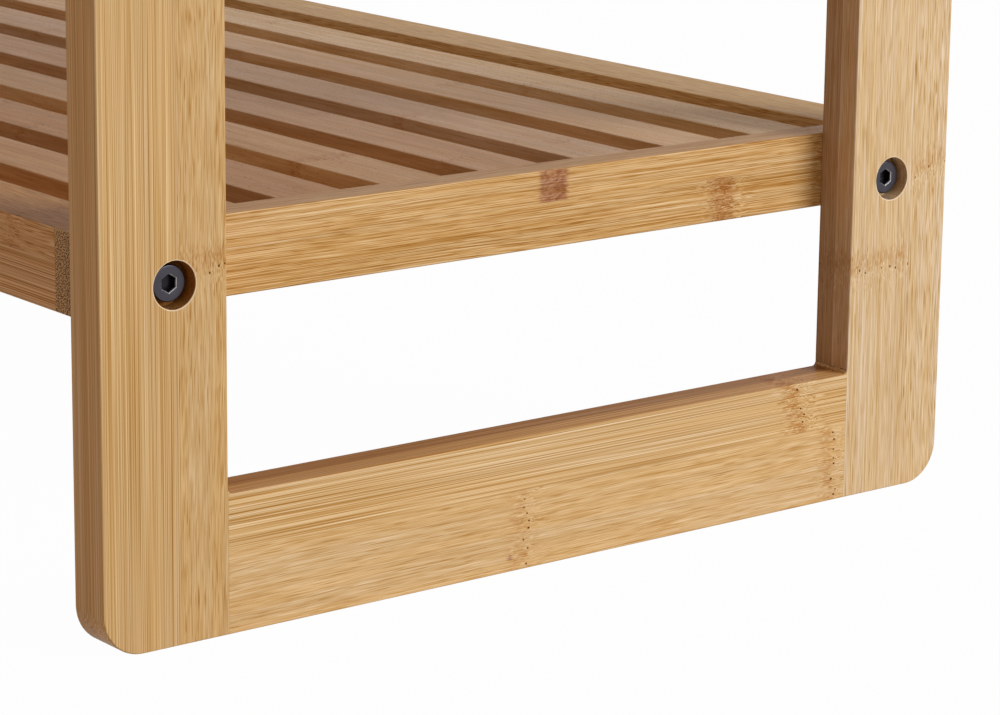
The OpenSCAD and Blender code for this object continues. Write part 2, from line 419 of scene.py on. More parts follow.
def surface(g, colour, roughness, relief, depth):
    """The material's shader, with a slight relief on it"""
    bump = g.node("ShaderNodeBump", {"Strength": 0.2, "Distance": depth, "Height": relief})
    shader = g.node("ShaderNodeBsdfPrincipled", {
        "Base Color": colour, "Roughness": roughness, "Normal": bump.outputs[0],
    })
    g.node("ShaderNodeOutputMaterial", {"Surface": shader.outputs[0]})
    return shader


def knuckle_group():
    """A growth joint of the bamboo across one strip: dark dots, brown on one side of them, bent fibres"""
    tree, g, given, result = new_group(
        "bamboo_knuckle",
        {"Place": "Vector", "Marks": "Vector", "Middle": "Float", "Low": "Float", "High": "Float",
         "Slope": "Float", "Side": "Float", "Dots": "Float", "Strength": "Float", "Seed": "Float"},
        {"Marks": "Vector"},
    )
    along, across, _ = g.split(given["Place"])
    shifted = g.vector("ADD", given["Place"], g.join(0.0, g.product(given["Seed"], 13.7), given["Seed"]))
    rise = g.product(g.math("SUBTRACT", across, given["Low"]), given["Slope"])
    distance = g.math("SUBTRACT", g.math("SUBTRACT", along, given["Middle"]), rise)
    ahead = g.product(distance, given["Side"])
    inside = g.product(
        g.math("GREATER_THAN", across, given["Low"]), g.math("LESS_THAN", across, given["High"])
    )
    # Brown: strongest beside the dots and gone a centimetre from them, in blots and short strokes
    reach = g.total(ahead, g.swing(g.noise(shifted, (14.0, 0.9, 0.9), 1.0), 8.0))
    fade = g.product(g.smooth(reach, -1.5, 1.5), g.smooth(reach, 10.0, 2.0))
    blots = g.smooth(g.noise(shifted, (3.0, 1.8, 1.8), 1.0), 0.38, 0.66)
    strokes = g.smooth(g.noise(shifted, (4.5, 0.42, 0.42), 1.0), 0.46, 0.66)
    brown = g.product(fade, g.total(g.product(blots, 0.45), g.product(strokes, 0.55)))
    # Dots: one for most cells across the strip
    spacing = 2.9
    cell = g.math("FLOOR", g.math("DIVIDE", across, spacing))
    chance = g.dice(cell, given["Seed"])
    shift = g.dice(given["Seed"], cell)
    middle = g.product(g.total(cell, 0.2, g.product(shift, 0.6)), spacing)
    dot_x = g.product(g.total(ahead, g.swing(chance, 3.2)), 0.72)
    dot_y = g.math("SUBTRACT", across, middle)
    away = g.math("SQRT", g.total(g.product(dot_x, dot_x), g.product(dot_y, dot_y)))
    size = g.between(shift, 0.32, 0.5)
    dots = g.product(g.smooth(away, size, g.product(size, 0.45)), g.math("GREATER_THAN", chance, 0.2))
    # Bend: the fibres swerve for a centimetre round the joint
    near = g.math("EXPONENT", g.product(distance, distance, -1 / 50))
    bend = g.product(near, g.swing(g.noise(shifted, (4.5, 2.6, 2.6), 1.0), 2.2))
    strength = g.product(inside, given["Strength"])
    marks = g.join(
        g.product(brown, strength), g.product(dots, given["Dots"], strength), g.product(bend, strength)
    )
    g.put(result["Marks"], g.vector("ADD", given["Marks"], marks))
    return tree


def stain_group():
    """A reddish mottled patch round a growth joint, square across one strip"""
    tree, g, given, result = new_group(
        "bamboo_stain",
        {"Place": "Vector", "Stain": "Float", "Middle": "Float", "Half": "Float", "Low": "Float",
         "High": "Float", "Strength": "Float", "Ragged": "Float", "Seed": "Float"},
        {"Stain": "Float"},
    )
    along, across, _ = g.split(given["Place"])
    shifted = g.vector("ADD", given["Place"], g.join(0.0, g.product(given["Seed"], 9.1), given["Seed"]))
    inside = g.product(
        g.smooth(across, g.total(given["Low"], -0.2), g.total(given["Low"], 0.3)),
        g.smooth(across, g.total(given["High"], 0.2), g.total(given["High"], -0.3)),
    )
    torn = g.product(g.swing(g.noise(shifted, (8.0, 0.7, 0.7), 2.0), 2.4), given["Ragged"])
    off_middle = g.math("ABSOLUTE", g.math("SUBTRACT", along, given["Middle"]))
    beyond = g.math("SUBTRACT", g.total(off_middle, torn), given["Half"])
    soft = g.product(given["Ragged"], 1.2)
    span = g.smooth(beyond, soft, g.product(soft, -1.0))
    mottle = g.smooth(g.noise(shifted, (1.8, 0.9, 0.9), 2.0), 0.32, 0.66)
    patch = g.product(span, g.between(mottle, 0.6, 1.0))
    # Darker fibres run on past both ends of the patch
    streaks = g.smooth(g.noise(shifted, (16.0, 0.4, 0.4), 1.0), 0.5, 0.7)
    halo = g.product(g.smooth(beyond, 14.0, 0.0), streaks, 0.4)
    marked = g.product(inside, g.math("MAXIMUM", patch, halo), given["Strength"])
    g.put(result["Stain"], g.math("MAXIMUM", given["Stain"], marked))
    return tree


def grain_group():
    """The bamboo itself: one or two strips side by side, in one or two plies, each with its own tone"""
    tree, g, given, result = new_group(
        "bamboo_grain",
        {"Place": "Vector", "Facing": "Vector", "Marks": "Vector", "Stain": "Float", "Bore Shade": "Float",
         "Glued": "Float", "Cut 1": "Float", "Cut 2": "Float", "Half": "Float", "Contrast": "Float",
         "Low Ply": "Float", "Tone": "Color", "Edge Tone And Shade": "Color", "Seed": "Float"},
        {"Color": "Color", "Roughness": "Float"},
    )
    along, across, through = g.split(given["Place"])
    end_on, edge_on, _ = g.split(g.vector("ABSOLUTE", given["Facing"]))
    on_edge = g.smooth(edge_on, 0.55, 0.85)
    brown, dots, bend = g.split(given["Marks"])

    # Which strip and ply a point is in
    second = g.math("GREATER_THAN", across, given["Glued"])
    ply = g.math("GREATER_THAN", through, given["Half"])
    strip = g.total(second, g.product(ply, 3.0))
    cell = g.total(g.product(strip, 5.0), given["Seed"])
    kind = g.between(second, given["Cut 1"], given["Cut 2"])
    jump = g.vector("MULTIPLY", g.join(cell, cell, cell), (31.7, 17.3, 11.9))
    straight = g.vector("ADD", given["Place"], jump)

    # The fibres lean a little and waver, least where they show as long lines
    lean = g.product(along, g.swing(g.dice(cell, 1.0), 0.03))
    waver = g.swing(g.noise(straight, (70.0, 9.0, 9.0)), 2.4)
    drift = g.total(g.product(g.total(lean, waver), g.between(kind, 0.15, 0.9)), bend)
    place = g.vector("ADD", straight, g.join(0.0, drift, drift))

    # Fibres that run the board's length, from bands to hairs
    bands = g.noise(place, (400.0, 2.6, 2.6), 1.0)
    fine = g.noise(place, (260.0, 0.66, 0.66), 1.0)
    hair = g.noise(place, (170.0, 0.29, 0.29))
    strong = g.smooth(g.noise(place, (90.0, 6.0, 6.0)), 0.34, 0.66)
    dark_thread = g.smooth(g.noise(g.vector("ADD", place, (0.0, 40.0, 0.0)), (260.0, 0.5, 0.5)), 0.60, 0.74)
    pale_thread = g.smooth(g.noise(g.vector("ADD", place, (0.0, 0.0, 40.0)), (200.0, 0.5, 0.5)), 0.62, 0.76)
    lines = g.total(
        0.5, g.swing(bands, 0.08), g.swing(fine, 0.22), g.swing(hair, 1.15),
        g.product(dark_thread, g.between(strong, -0.04, -0.28)),
        g.product(pale_thread, g.between(strong, 0.24, 0.06)),
    )
    # Flecks: a calm ground with fibres a few millimetres long
    ground = g.noise(place, (55.0, 3.0, 3.0), 1.0)
    fibres = g.noise(place, (14.0, 0.32, 0.32), 1.0)
    dashes = g.smooth(g.noise(g.vector("ADD", place, (0.0, 60.0, 0.0)), (9.0, 0.36, 0.36)), 0.60, 0.76)
    flecks = g.total(
        0.54, g.swing(ground, 0.12), g.swing(fine, 0.16), g.swing(fibres, 0.95), g.product(dashes, -0.3)
    )
    # Plain: hardly a fibre, with a sprinkling of dark specks
    specks = g.smooth(g.noise(straight, (1.3, 0.5, 0.5)), 0.69, 0.79)
    plain = g.total(
        0.5, g.swing(ground, 0.45), g.swing(fine, 0.3), g.swing(fibres, 0.4),
        g.product(specks, g.between(on_edge, -0.4, -0.15)),
    )
    level = g.between(kind, lines, flecks)
    level = g.between(g.math("SUBTRACT", kind, 1.0), level, plain)
    level = g.total(0.5, g.product(g.total(level, -0.5), given["Contrast"]))
    colour = g.ramp(level, (
        (0.1, srgb(164, 112, 46)), (0.3, srgb(184, 137, 77)), (0.5, srgb(204, 162, 107)),
        (0.7, srgb(220, 184, 136)), (0.9, srgb(234, 204, 163)),
    ))
    golden, rosy = (1.01, 0.985, 0.93, 1.0), (0.99, 1.01, 1.07, 1.0)
    hue = g.mix(g.smooth(g.noise(place, (120.0, 4.0, 4.0)), 0.3, 0.7), golden, rosy)
    own = g.mix(g.dice(cell, 3.0), (0.97, 0.955, 0.92, 1.0), (1.02, 1.03, 1.06, 1.0))
    colour = g.tint(1.0, g.tint(1.0, colour, hue), own)

    # Glue lines between strips and between plies
    to_strip = g.math("ABSOLUTE", g.math("SUBTRACT", across, given["Glued"]))
    to_ply = g.math("ABSOLUTE", g.math("SUBTRACT", through, given["Half"]))
    glue = g.smooth(g.math("MINIMUM", to_strip, to_ply), 0.2, 0.05)
    colour = g.mix(g.product(glue, 0.25), colour, srgb(140, 96, 56))

    # Growth joints and stains; the dots are only on the wide faces
    colour = g.tint(brown, colour, JOINT_BROWN)
    colour = g.tint(given["Stain"], colour, STAIN_PURPLE)
    dots = g.product(dots, g.math("SUBTRACT", 1.0, on_edge))
    colour = g.tint(g.smooth(dots, 0.0, 0.4), colour, DOT_BROWN)
    colour = g.mix(g.smooth(dots, 0.3, 0.9), colour, srgb(92, 50, 14))

    # The board's narrow sides, in a tone of their own with some painted shade and light, its ends, where the
    # fibres are cut, and painted shade on the walls of the counterbores
    colour = g.tint(on_edge, colour, given["Edge Tone And Shade"])
    dark_ply = g.product(on_edge, given["Low Ply"], g.math("SUBTRACT", 1.0, ply))
    colour = g.tint(dark_ply, colour, LOW_PLY_BROWN)
    pores = g.smooth(g.noise(g.vector("MULTIPLY", place, (0.0, 1.0, 1.0)), (1.0, 0.48, 0.48)), 0.56, 0.44)
    cut_ends = g.mix(pores, srgb(104, 72, 50), srgb(216, 176, 136))
    cut_ends = g.tint(g.math("SUBTRACT", 1.0, ply), cut_ends, LOWER_END_PALE)
    on_end = g.smooth(end_on, 0.93, 0.99)
    colour = g.mix(on_end, colour, cut_ends)
    # Painted shade on the walls of the counterbores
    colour = g.tint(given["Bore Shade"], colour, BORE_PAINTED_SHADE)
    colour = g.tint(1.0, colour, given["Tone"])

    g.put(result["Color"], colour)
    rough = g.total(0.46, g.swing(fine, 0.25), g.product(on_end, 0.25), g.product(dots, 0.3))
    g.put(result["Roughness"], rough)
    return tree


KNUCKLE = knuckle_group()
STAIN = stain_group()
GRAIN = grain_group()


def knuckle(middle, low, high, slope=0.0, side=1.0, dots=1.0, strength=1.0):
    """A growth joint, from low to high across the board. side is the way that its brown lies"""
    return {"Middle": middle, "Low": low, "High": high, "Slope": slope, "Side": side, "Dots": dots,
            "Strength": strength}


def stain(middle, half, low, high, strength=1.0, ragged=1.0):
    """A stain, from low to high across the board"""
    return {"Middle": middle, "Half": half, "Low": low, "High": high, "Strength": strength, "Ragged": ragged}


def board_place(g, low, axes):
    """Where a point is in the board's own directions, in millimetres, and which way its face looks"""
    coordinates = g.node("ShaderNodeTexCoord").outputs
    here = g.split(coordinates["Object"])
    facing = g.split(coordinates["Normal"])
    origin = [0.0 if turn == 0 else low[axis] for turn, axis in enumerate(axes)]
    place = g.vector("SUBTRACT", g.join(*[here[axis] for axis in axes]), origin)
    return g.vector("MULTIPLY", place, PER_MM), g.join(*[facing[axis] for axis in axes])


def bore_masks(g, place, thickness, bores):
    """1 on the walls of the wide holes, and 1 on their rims"""
    along, across, through = g.split(place)
    off_middle = g.math("ABSOLUTE", g.total(through, -thickness / 2))
    under_face = g.math("LESS_THAN", off_middle, thickness / 2 - COUNTERBORE_RIM / MM)
    at_face = g.math("SUBTRACT", 1.0, under_face)
    walls = rims = 0.0
    for bore_along, bore_across in bores:
        away = g.node("ShaderNodeVectorMath", {
            0: g.join(along, across, 0.0), 1: (bore_along, bore_across, 0.0),
        }, operation="DISTANCE").outputs["Value"]
        in_hole = g.math("LESS_THAN", away, COUNTERBORE_R / MM + 0.5)
        in_rim = g.math("LESS_THAN", away, (COUNTERBORE_R + COUNTERBORE_RIM) / MM)
        walls = g.total(walls, g.product(in_hole, under_face))
        rims = g.total(rims, g.product(in_rim, at_face))
    return walls, rims


def bamboo(name, node, axes, strips, knuckles=(), stains=(), bores=(), tone=(1.0, 1.0, 1.0),
           edge_tone_and_shade=(0.97, 0.88, 0.83), contrast=1.0, plies=2, low_ply=0.15, bore_shade=1.0):
    """Material of one board.

    strips: one or two of (where it ends across the board, how it is cut);
    bores: (along, across) of the axes of wide holes; bore_shade: how dark the painted shade on their walls
    is;
    edge_tone_and_shade: a further tone for the narrow sides, partly their own colour and partly painted
    shade and light; low_ply: how dark the lower ply is there.
    Millimetres: along the grain from the bench's origin, across the grain from the board's low edge.
    """
    seed = float(len(bpy.data.materials) * 7 % 101)     # another one for each material
    material, g = new_material(name)
    low, high = box(node)
    thickness = (high[axes[2]] - low[axes[2]]) / MM
    place, facing = board_place(g, low, axes)
    marks = (0.0, 0.0, 0.0)
    for count, mark in enumerate(knuckles):
        values = {"Place": place, "Marks": marks, "Seed": seed + 2.0 * count, **mark}
        marks = g.group(KNUCKLE, values)["Marks"]
    stained = 0.0
    for count, mark in enumerate(stains):
        values = {"Place": place, "Stain": stained, "Seed": seed + 3.0 * count, **mark}
        stained = g.group(STAIN, values)["Stain"]
    walls, rims = bore_masks(g, place, thickness, bores)
    made = g.group(GRAIN, {
        "Place": place, "Facing": facing, "Marks": marks, "Stain": stained,
        "Bore Shade": g.product(walls, bore_shade), "Glued": strips[0][0] if len(strips) == 2 else BEYOND,
        "Cut 1": strips[0][1], "Cut 2": strips[-1][1], "Half": thickness / 2 if plies == 2 else BEYOND,
        "Contrast": contrast, "Low Ply": low_ply if plies == 2 else 0.0, "Tone": (*tone, 1.0),
        "Edge Tone And Shade": (*edge_tone_and_shade, 1.0), "Seed": seed,
    })
    # Painted highlight on the counterbores' rims, over their pale cut fibres
    colour = g.mix(g.product(rims, RIM_HIGHLIGHT), made["Color"], srgb(250, 232, 200))
    relief = g.noise(place, (60.0, 0.5, 0.5), 1.0)
    shader = surface(g, colour, made["Roughness"], relief, WOOD_RELIEF)
    shader.inputs["IOR"].default_value = WOOD_IOR
    return material


def metal_texture(g):
    """Where a point of a metal piece is in millimetres, with a fine speckle and faint patches there"""
    place = g.vector("MULTIPLY", g.node("ShaderNodeTexCoord").outputs["Object"], PER_MM)
    return place, g.noise(place, (0.25, 0.25, 0.25), 3.0), g.noise(place, (4.0, 4.0, 4.0), 1.0)


def plating(name, colour, roughness):
    """Bright metal, with faint patches in its colour and a speckle in its shine"""
    material, g = new_material(name)
    _, speckle, patches = metal_texture(g)
    duller = (*[0.85 * part for part in colour[:3]], 1.0)
    shade = g.ramp(patches, ((0.3, duller), (0.7, colour)))
    rough = g.total(roughness, g.swing(speckle, 0.15))
    shader = surface(g, shade, rough, speckle, METAL_RELIEF)
    shader.inputs["Metallic"].default_value = 1.0
    return material


# ---- The grain of each board ---------------------------------------------------------

BELOW = -1.0                # just under a board's low edge, so that a mark shows on its narrow side too
WIDE = 18.0                 # a board wider than this is two strips
JOINT_GAPS = (210.0, 330.0)     # the least and the most between a strip's growth joints


def chance_grain(node, axes, cut_kinds=(FLECKS, LINES)):
    """Strips and growth joints for a board that has none of its own below, the same on every run"""
    luck = random.Random(node)
    low, high = box(node)
    width = (high[axes[1]] - low[axes[1]]) / MM
    start, end = low[axes[0]] / MM, high[axes[0]] / MM
    edges = [width]
    if width > WIDE:
        edges = [luck.uniform(0.35, 0.65) * width, width]
    strips = [(edge, luck.choice(cut_kinds)) for edge in edges]
    knuckles = []
    bottom = BELOW
    for edge, cut_kind in strips:
        middle = start + luck.uniform(10.0, 240.0)
        dots = 0.25 if cut_kind == LINES else 1.0
        while middle < end:
            slope = luck.uniform(-0.15, 0.15)
            side = luck.choice((-1.0, 1.0))
            strength = luck.uniform(0.5, 1.0)
            knuckles.append(knuckle(middle, bottom, edge, slope, side, dots, strength))
            middle += luck.uniform(*JOINT_GAPS)
        bottom = edge
    return {"strips": strips, "knuckles": knuckles, "low_ply": luck.uniform(0.0, 0.5)}


# Tones multiply a board's colour
FRAME_TONE = (1.01, 1.06, 1.12)
PANEL_TONE = (0.98, 0.96, 0.92)
# Painted light on the shelf's slats: the front ones darker, as painted shade under the seat and posts, and
# the back ones paler and bluer, as a painted sheen
SHELF_SLAT_SHADE_AND_SHEEN = (        # from the front slat to the back one
    (0.75, 0.65, 0.62), (0.69, 0.58, 0.54), (0.78, 0.72, 0.74), (0.73, 0.67, 0.74), (0.82, 0.84, 1.12),
    (0.98, 1.03, 1.32), (1.00, 1.12, 1.45),
)
# The slats' narrow sides: a tone of their own, partly painted shade and light
SLAT_EDGE_TONE_AND_SHADE = (1.05, 0.97, 0.86)

# The boards that the photograph shows near, with their strips and marks in the places seen there, and tones
# for their narrow sides that hold some painted shade and light. A mark that ends a millimetre past a board's
# high edge shows on its narrow side too
OWN_GRAIN = {
    "right_front_post": {
        "strips": [(27.5, LINES), (45.0, FLECKS)],
        "knuckles": [knuckle(116.5, 27.5, 45.0), knuckle(348.0, BELOW, 27.5, 0.1, dots=0.2, strength=0.7)],
        "low_ply": 0.1,
        "contrast": 0.84,
        "tone": (0.97, 1.03, 1.07),
        "edge_tone_and_shade": (1.11, 0.97, 0.93),
    },
    "right_back_post": {
        "strips": [(28.0, SILK), (45.0, FLECKS)],
        "knuckles": [
            knuckle(81.0, BELOW, 28.0, 0.04), knuckle(112.5, 28.0, 45.0, 0.28, strength=0.8),
            knuckle(322.0, BELOW, 28.0, strength=0.8),
        ],
        "low_ply": 0.45,
        # Less painted shade in this post's counterbores
        "bore_shade": 0.1,
        "tone": (1.03, 1.20, 1.53),
        "edge_tone_and_shade": (0.97, 0.86, 0.84),
    },
    "right_bottom_rail": {
        "strips": [(27.0, SILK), (45.0, LINES)],
        "knuckles": [
            knuckle(-13.5, BELOW, 27.0, side=-1.0, strength=0.8),
            knuckle(125.0, BELOW, 27.0, -0.03, side=-1.0),
            knuckle(111.0, 27.0, 46.0, -0.32, side=-1.0, dots=0.5, strength=1.9),
        ],
        "stains": [stain(-20.0, 0.8, 4.0, 6.0, strength=0.9)],
        "low_ply": 0.7,
        "tone": (1.05, 1.14, 1.25),
        "edge_tone_and_shade": (0.91, 0.75, 0.61),
    },
    "shelf_right_end_rail": {
        "strips": [(15.2, FINE), (26.0, FINE)],
        "knuckles": [
            knuckle(87.0, BELOW, 15.2, side=-1.0, dots=0.0, strength=1.3),
            knuckle(81.5, BELOW, 15.2, dots=0.0, strength=1.1),
            knuckle(10.8, 15.2, 26.0, dots=0.5, strength=0.5),
            # Brown without dots next to the back post: partly a brown joint, partly painted shade where the
            # post shades the rail
            knuckle(134.0, BELOW, 27.0, side=-1.0, dots=0.0, strength=0.9),
        ],
        "stains": [
            stain(9.6, 5.8, 15.2, 25.9, ragged=1.2),
            stain(83.8, 6.0, BELOW, 15.2, strength=0.3, ragged=2.6),
        ],
        "contrast": 1.6,
        "tone": (0.925, 0.91, 0.83),
        "edge_tone_and_shade": (0.85, 0.80, 0.83),
    },
    "shelf_front_rail": {
        "strips": [(15.5, LINES), (26.0, FLECKS)],
        "knuckles": [knuckle(395.0, 15.5, 27.0, dots=0.5, strength=0.7)],
        "contrast": 1.5,
        "tone": (1.05, 0.88, 0.80),
        "edge_tone_and_shade": (0.65, 0.60, 0.40),
    },
    "shelf_back_rail": {
        "strips": [(12.0, LINES), (26.0, FLECKS)],
        "edge_tone_and_shade": (0.90, 0.94, 0.92),
    },
    "shelf_slat_3": {
        "strips": [(25.0, PLAIN)],
        "knuckles": [knuckle(376.0, BELOW, 25.0, side=-1.0, dots=0.4, strength=1.4)],
        "edge_tone_and_shade": (1.34, 1.30, 1.22),
    },
}


def grain_of(node, axes, tone, cut_kinds=(FLECKS, LINES)):
    """A board's own grain if it has one, or a chance one. A tone in it goes before the one given"""
    return {"tone": tone, **(OWN_GRAIN.get(node) or chance_grain(node, axes, cut_kinds))}


# ---- End frames ----------------------------------------------------------------------

def bolt_places(panel, side):
    """The middles of a panel's bolt heads at one end, on their outer faces, and the radius of a head"""
    low, high = box(f"{panel}_bolts")
    radius = (high[2] - low[2]) / 2
    x = high[0] if side == "right" else low[0]
    return [(x, y, low[2] + radius) for y in (low[1] + radius, high[1] - radius)], radius


def make_post(side, face):
    """A post with its rounded outer corners, and a counterbore for each of its bolts"""
    node = f"{side}_{face}_post"
    low, high = box(node)
    rail_low, rail_high = box(f"{side}_bottom_rail")
    width, height, rail_h = high[1] - low[1], high[2] - low[2], rail_high[2] - rail_low[2]
    outer_y, inward = (low[1], 1) if face == "front" else (high[1], -1)
    bm = bmesh.new()
    loft(bm, [
        [(x, outer_y + inward * y, low[2] + z) for y, z in post_outline(width, height, rail_h, inset)]
        for x, inset in eased(low[0], high[0], EDGE, EDGE)
    ])
    panel_bolts = [bolt_places(panel, side)[0][FACES.index(face)] for panel in PANELS]
    bores = [(z / MM, (y - low[1]) / MM) for _, y, z in panel_bolts]
    grain = grain_of(node, ALONG_Z, FRAME_TONE)
    material = bamboo(f"bamboo_{node}", node, ALONG_Z, bores=bores, **grain)
    post = new_piece(f"{node}_board", bm, material, [node])
    outward = 1 if side == "right" else -1
    outer_x = high[0] if side == "right" else low[0]
    for x, y, z in panel_bolts:
        floor_x = x - outward * HEAD_H
        deep = abs(outer_x - floor_x)
        cutter = bmesh.new()
        turned(cutter, (floor_x, y, z), outward, (
            (-2 * deep, BOLT_HOLE_R),
            (0.0, BOLT_HOLE_R),
            (0.0, COUNTERBORE_R),
            (deep - COUNTERBORE_RIM, COUNTERBORE_R),
            (deep - 0.3 * COUNTERBORE_RIM, COUNTERBORE_R + 0.25 * COUNTERBORE_RIM),
            (deep, COUNTERBORE_R + COUNTERBORE_RIM),
            (deep + CUT_PAST, COUNTERBORE_R + COUNTERBORE_RIM),
        ))
        cut(post, cutter)


def make_frame_rail(side, level):
    """A top or bottom rail of an end frame, flush with the posts and filleted into the window's corners"""
    node = f"{side}_{level}_rail"
    low, high = box(node)
    half_length, rail_h = (high[1] - low[1]) / 2, high[2] - low[2]
    base, upward = (low[2], 1) if level == "bottom" else (high[2], -1)
    bm = bmesh.new()
    loft(bm, [
        [(x, y, base + upward * z) for y, z in frame_rail_outline(half_length, rail_h, inset)]
        for x, inset in eased(low[0], high[0], EDGE, EDGE)
    ])
    material = bamboo(f"bamboo_{node}", node, ALONG_Y, **grain_of(node, ALONG_Y, FRAME_TONE))
    new_piece(f"{node}_board", bm, material, [node])


# ---- Panels --------------------------------------------------------------------------

def seat_corner():
    """Radius of the seat's long top edges, which run round with the end frames' corners"""
    return FRAME_CORNER - (box("seat_front_rail")[0][1] - box("right_front_post")[0][1])


def bar_ends(panel):
    """Where the boards along X meet the end rails"""
    return box(f"{panel}_left_end_rail")[1][0] + SEAM, box(f"{panel}_right_end_rail")[0][0] - SEAM


def make_end_rail(panel, side):
    """An end rail of a panel. Its outer edges are round; its inner ones meet the other boards flush"""
    node = f"{panel}_{side}_end_rail"
    low, high = box(node)
    top = seat_corner() if panel == "seat" else EDGE
    rims = (CRISP, EDGE) if side == "right" else (EDGE, CRISP)
    bm = board_mesh(low, high, (EDGE, EDGE, top, top), *rims)
    material = bamboo(f"bamboo_{node}", node, ALONG_Y, **grain_of(node, ALONG_Y, PANEL_TONE))
    new_piece(f"{node}_board", bm, material, [node])


def make_long_rail(panel, face):
    """A front or back rail of a panel"""
    node = f"{panel}_{face}_rail"
    low, high = box(node)
    low[0], high[0] = bar_ends(panel)
    top = seat_corner() if panel == "seat" else EDGE
    radii = (EDGE, EDGE, EDGE, top) if face == "front" else (EDGE, EDGE, top, EDGE)
    bm = board_mesh(low, high, radii, CRISP, CRISP)
    material = bamboo(f"bamboo_{node}", node, RAIL_X, **grain_of(node, RAIL_X, PANEL_TONE))
    new_piece(f"{node}_board", bm, material, [node])


def make_slat(panel, number):
    """A slat of a panel, counted from the front. It is a single ply"""
    node = f"{panel}_slat_{number}"
    low, high = box(node)
    low[0], high[0] = bar_ends(panel)
    bm = board_mesh(low, high, (SLAT_EDGE,) * 4, CRISP, CRISP)
    # The shelf's slats take painted shade and sheen in their tones; the seat's slats take the plain panel
    # tone
    tone = SHELF_SLAT_SHADE_AND_SHEEN[number - 1] if panel == "shelf" else PANEL_TONE
    grain = {"edge_tone_and_shade": SLAT_EDGE_TONE_AND_SHADE, **grain_of(node, ALONG_X, tone, (PLAIN,))}
    material = bamboo(f"bamboo_{node}", node, ALONG_X, plies=1, **grain)
    new_piece(f"{node}_board", bm, material, [node])


def screw_places(panel, bearer):
    """The middles of the faces of the screw heads under a bearer, one below each slat"""
    low, high = box(bearer)
    middle_x = (low[0] + high[0]) / 2
    slats = [box(f"{panel}_slat_{number}") for number in SLATS]
    return [(middle_x, (slat_low[1] + slat_high[1]) / 2, low[2]) for slat_low, slat_high in slats]


def make_bearer(panel, node):
    """A cross bearer under the slats, between the front and back rails, countersunk for its screws"""
    low, high = box(node)
    low[1] = box(f"{panel}_front_rail")[1][1] + SEAM
    high[1] = box(f"{panel}_back_rail")[0][1] - SEAM
    high[2] -= SEAM
    bm = board_mesh(low, high, (CRISP,) * 4, EDGE, EDGE)
    height = high[2] - low[2]
    cutter = bmesh.new()
    for middle in screw_places(panel, node):
        turned(cutter, middle, 1, (
            (-CUT_PAST, SCREW_HEAD_R + SEAM),
            (0.0, SCREW_HEAD_R + SEAM),
            (SCREW_HEAD_R - SCREW_R, SCREW_R + SEAM),
            (height + CUT_PAST, SCREW_R + SEAM),
        ), axis=2)
    material = bamboo(f"bamboo_{node}", node, BEARER_Y, plies=1, **grain_of(node, BEARER_Y, PANEL_TONE))
    bearer = new_piece(f"{node}_board", bm, material, [node])
    cut(bearer, cutter)


# ---- Hardware ------------------------------------------------------------------------

def hexagon(angle):
    """Distance to the side of the socket's hexagon, with a corner straight up"""
    sector = math.radians(60)
    return HEX_HALF / math.cos((angle % sector) - sector / 2)


def black_oxide(panel):
    """Black steel: satin on a bolt's head, worn bright round the mouth of its socket with a painted glint,
    and with painted shade deep inside the socket
    """
    middles, radius = bolt_places(panel, "right")
    x, y, z = [abs(value) / MM for value in middles[0]]
    material, g = new_material(f"black_oxide_{panel}_bolts")
    place, speckle, patches = metal_texture(g)
    shade = g.mix(patches, srgb(58, 56, 62), srgb(72, 70, 77))
    # How deep under the head's face, and whether near its axis, where only the socket is deep. One place
    # does for all four bolts, since they mirror each other
    off_x, off_y, off_z = g.split(g.vector("SUBTRACT", g.vector("ABSOLUTE", place), (x, y, z)))
    depth = g.product(off_x, -1.0)
    away = g.math("SQRT", g.total(g.product(off_y, off_y), g.product(off_z, off_z)))
    in_socket = g.smooth(away, radius / MM - 1.6, radius / MM - 2.0)
    # Round the socket's mouth: bare worn steel, made pale as a painted glint
    worn_and_glint = g.product(in_socket, g.smooth(depth, 0.03, 0.12), g.smooth(depth, 0.9, 0.4))
    # Deep in the socket: painted shade, darker than the oxide
    inside = g.product(in_socket, g.smooth(depth, 0.5, 1.0))
    shade = g.mix(worn_and_glint, shade, srgb(214, 210, 214))
    shade = g.mix(inside, shade, srgb(28, 25, 30))
    rough = g.total(0.33, g.swing(speckle, 0.15), g.product(worn_and_glint, -0.14), g.product(inside, -0.06))
    shader = surface(g, shade, rough, speckle, METAL_RELIEF)
    shader.inputs["Metallic"].default_value = 0.7
    return material


def make_bolts(panel, material):
    """A panel's four bolts: turned heads with hexagon sockets, and their shanks"""
    bm = bmesh.new()
    for side in SIDES:
        outward = 1 if side == "right" else -1
        middles, radius = bolt_places(panel, side)
        rim = [math.radians(90 * step / EDGE_STEPS) for step in range(EDGE_STEPS + 1)]
        head = [(-HEAD_RIM * (1 - math.sin(a)), radius - HEAD_RIM * (1 - math.cos(a))) for a in rim]
        mouth = [(-HEX_ROUND * (1 - math.cos(a)), HEX_ROUND * (1 - math.sin(a))) for a in rim]
        profile = [
            (-HEAD_H - BOLT_L, SHANK_R - SHANK_BEVEL),
            (-HEAD_H - BOLT_L + SHANK_BEVEL, SHANK_R),
            (-HEAD_H, SHANK_R),
            (-HEAD_H, radius - HEAD_BEVEL),
            (-HEAD_H + HEAD_BEVEL, radius),
        ] + head
        first_hexagon = len(profile)
        profile += mouth + [(-HEX_DEEP, 0.0)]

        def outline(step, angle, reach):
            return hexagon(angle) + reach if step >= first_hexagon else reach

        for middle in middles:
            turned(bm, middle, outward, profile, outline)
    new_piece(f"{panel}_bolts_steel", bm, material, [f"{panel}_bolts"])


